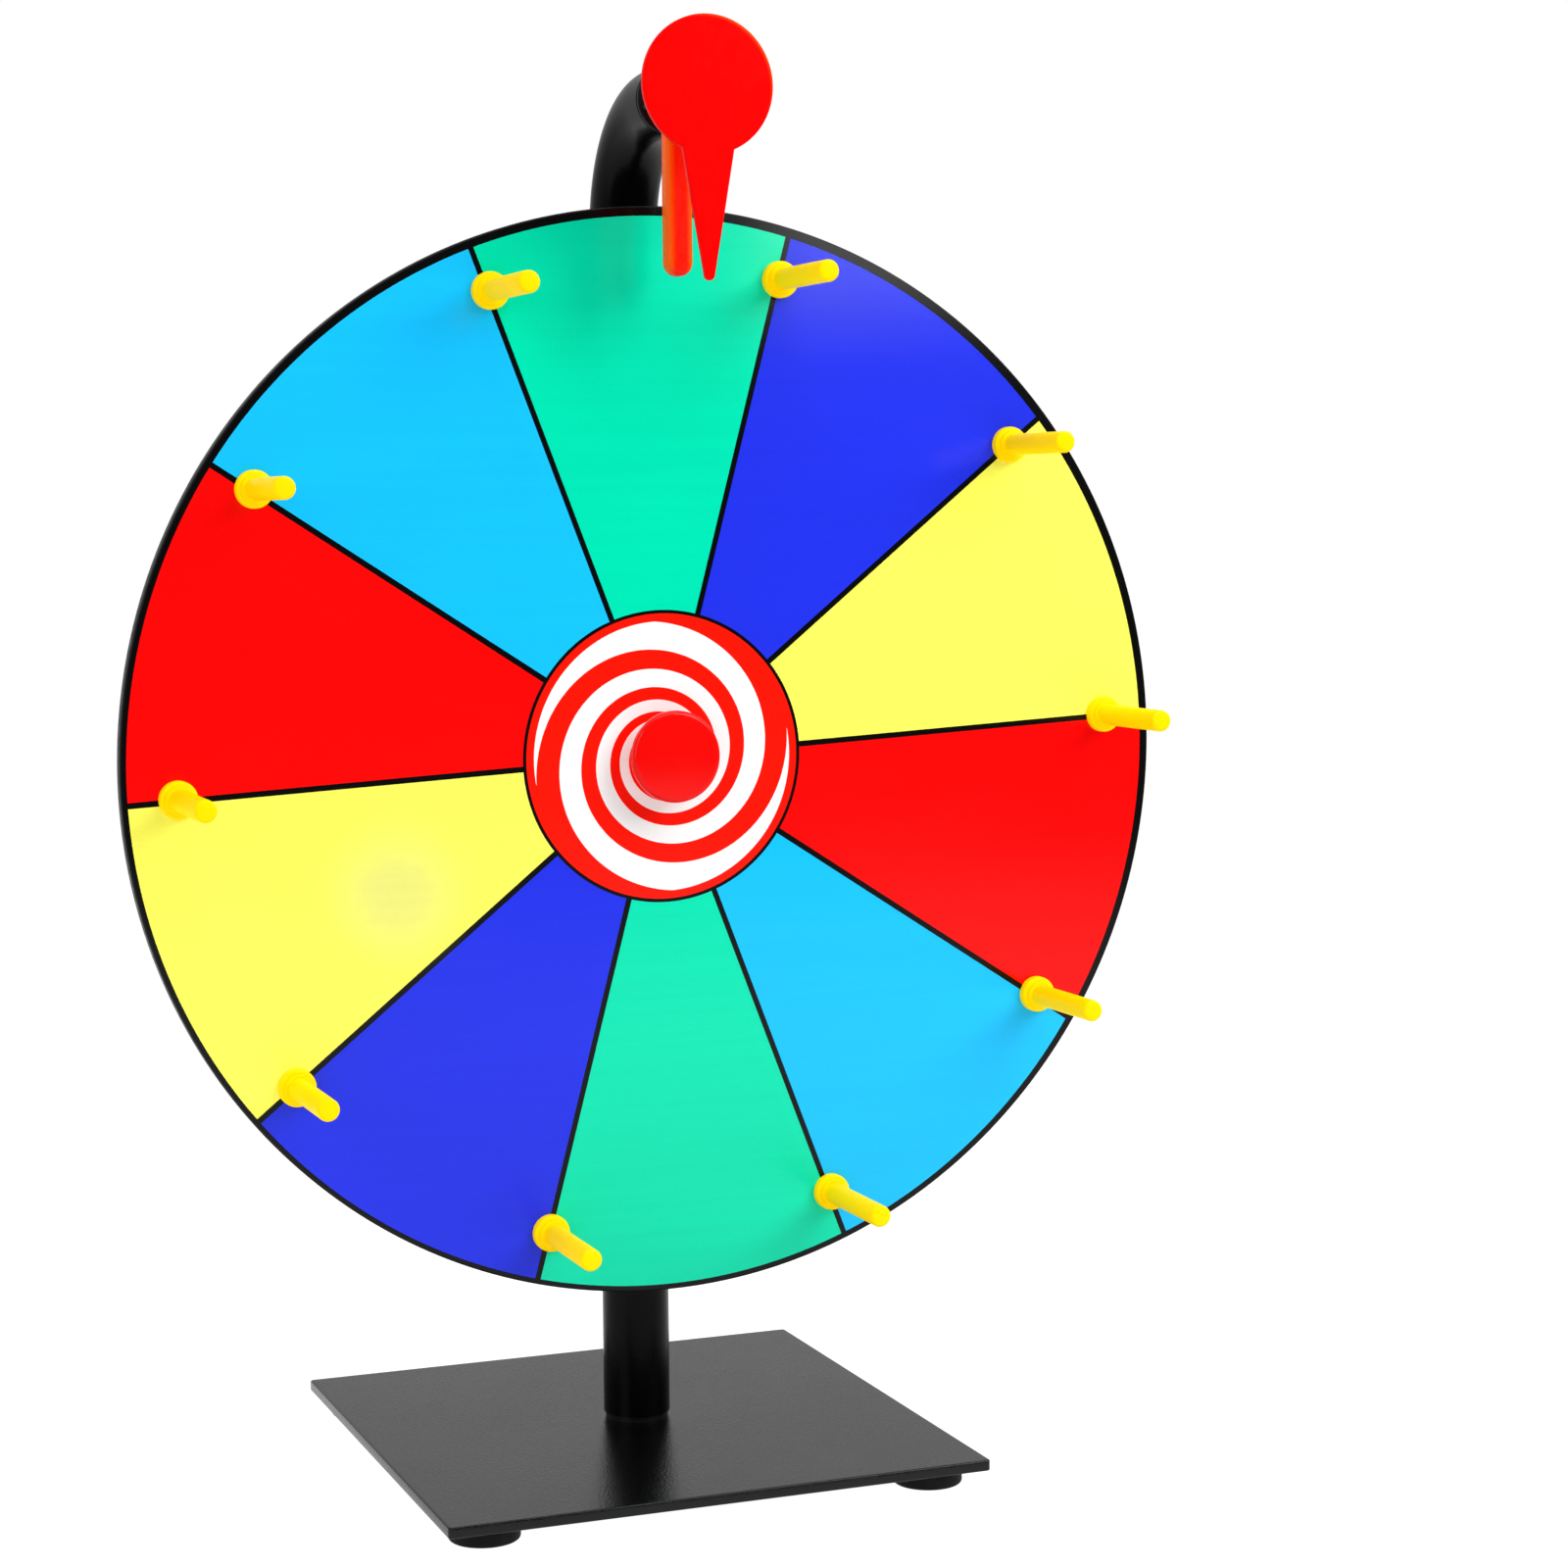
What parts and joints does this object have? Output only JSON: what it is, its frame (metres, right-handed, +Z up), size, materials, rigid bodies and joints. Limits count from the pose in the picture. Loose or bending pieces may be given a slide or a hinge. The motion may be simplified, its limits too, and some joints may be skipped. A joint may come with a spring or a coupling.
{
  "type": "tabletop prize wheel game spinner",
  "caption": "Tabletop game spinner: coloured pegged wheel on a bent tube post, with a swinging flapper and a fixed pointer over the top.",
  "frame": {"origin": "on the table surface, under the middle of the square base plate (the undersides of the four rubber feet)", "axes": "+Z up; the wheel faces -Y and turns about a Y axis 201.5 mm up; +X to the player's right"},
  "size_m": [0.3, 0.154, 0.3975],
  "materials": {
    "base_paint": "fine-texture black powder coat on steel plate",
    "tube_paint": "smooth satin black powder coat on steel tube",
    "feet_rubber": "matte black moulded rubber",
    "zinc_steel": "bright zinc-plated steel fasteners",
    "black_plastic": "black moulded nylon",
    "bearing_steel": "polished bearing steel",
    "board_black": "black rigid foamed plastic board with rounded edge",
    "face_print": "glossy dry-erase film printed with ten coloured segments and a two-arm spiral at the hub",
    "peg_yellow": "glossy moulded yellow plastic",
    "cap_red": "glossy moulded red plastic",
    "flapper_orange": "satin moulded orange-red plastic",
    "pointer_red": "glossy moulded red plastic"
  },
  "bodies": {
    "stand": {"base_plate": "base_paint", "foot_front_left": "feet_rubber", "foot_front_right": "feet_rubber", "foot_back_left": "feet_rubber", "foot_back_right": "feet_rubber", "post_foot_plug": "zinc_steel", "base_bolt_washer": "zinc_steel", "base_bolt": "zinc_steel", "post_tube": "tube_paint", "axle_bolt": "zinc_steel", "axle_nut": "zinc_steel", "axle_front_washer": "zinc_steel", "inner_ring_spacer": "zinc_steel", "front_saddle": "black_plastic", "back_saddle": "black_plastic", "front_bearing_inner_ring": "bearing_steel", "rear_bearing_inner_ring": "bearing_steel", "arm_end_plug": "black_plastic", "pointer_stud": "zinc_steel", "flapper_back_washer": "zinc_steel", "flapper_front_washer": "zinc_steel", "stud_nut": "zinc_steel", "pointer_plate": "pointer_red"},
    "wheel": {"wheel_board": "board_black", "wheel_face_film": "face_print", "peg_01": "peg_yellow", "peg_02": "peg_yellow", "peg_03": "peg_yellow", "peg_04": "peg_yellow", "peg_05": "peg_yellow", "peg_06": "peg_yellow", "peg_07": "peg_yellow", "peg_08": "peg_yellow", "peg_09": "peg_yellow", "peg_10": "peg_yellow", "peg_screws": "zinc_steel", "hub_flange": "black_plastic", "hub_screws": "zinc_steel", "front_bearing_outer_ring": "bearing_steel", "rear_bearing_outer_ring": "bearing_steel", "centre_cap": "cap_red"},
    "front_ball_set": {"front_bearing_balls": "bearing_steel", "front_bearing_cage": "bearing_steel"},
    "rear_ball_set": {"rear_bearing_balls": "bearing_steel", "rear_bearing_cage": "bearing_steel"},
    "flapper": {"flapper": "flapper_orange"}
  },
  "joints": [
    {"name": "wheel_spin", "type": "hinge", "parent": "stand", "child": "wheel", "pos_m": [0, -0.027, 0.2015], "axis": [0, 1, 0], "continuous": true},
    {"name": "front_ball_set_turn", "type": "hinge", "parent": "wheel", "child": "front_ball_set", "pos_m": [0, -0.0192, 0.2015], "axis": [0, 1, 0], "continuous": true},
    {"name": "rear_ball_set_turn", "type": "hinge", "parent": "wheel", "child": "rear_ball_set", "pos_m": [0, -0.0112, 0.2015], "axis": [0, 1, 0], "continuous": true},
    {"name": "flapper_swing", "type": "hinge", "parent": "stand", "child": "flapper", "pos_m": [0, -0.0415, 0.3788], "axis": [0, 1, 0], "range_deg": [-35, 35]}
  ]
}
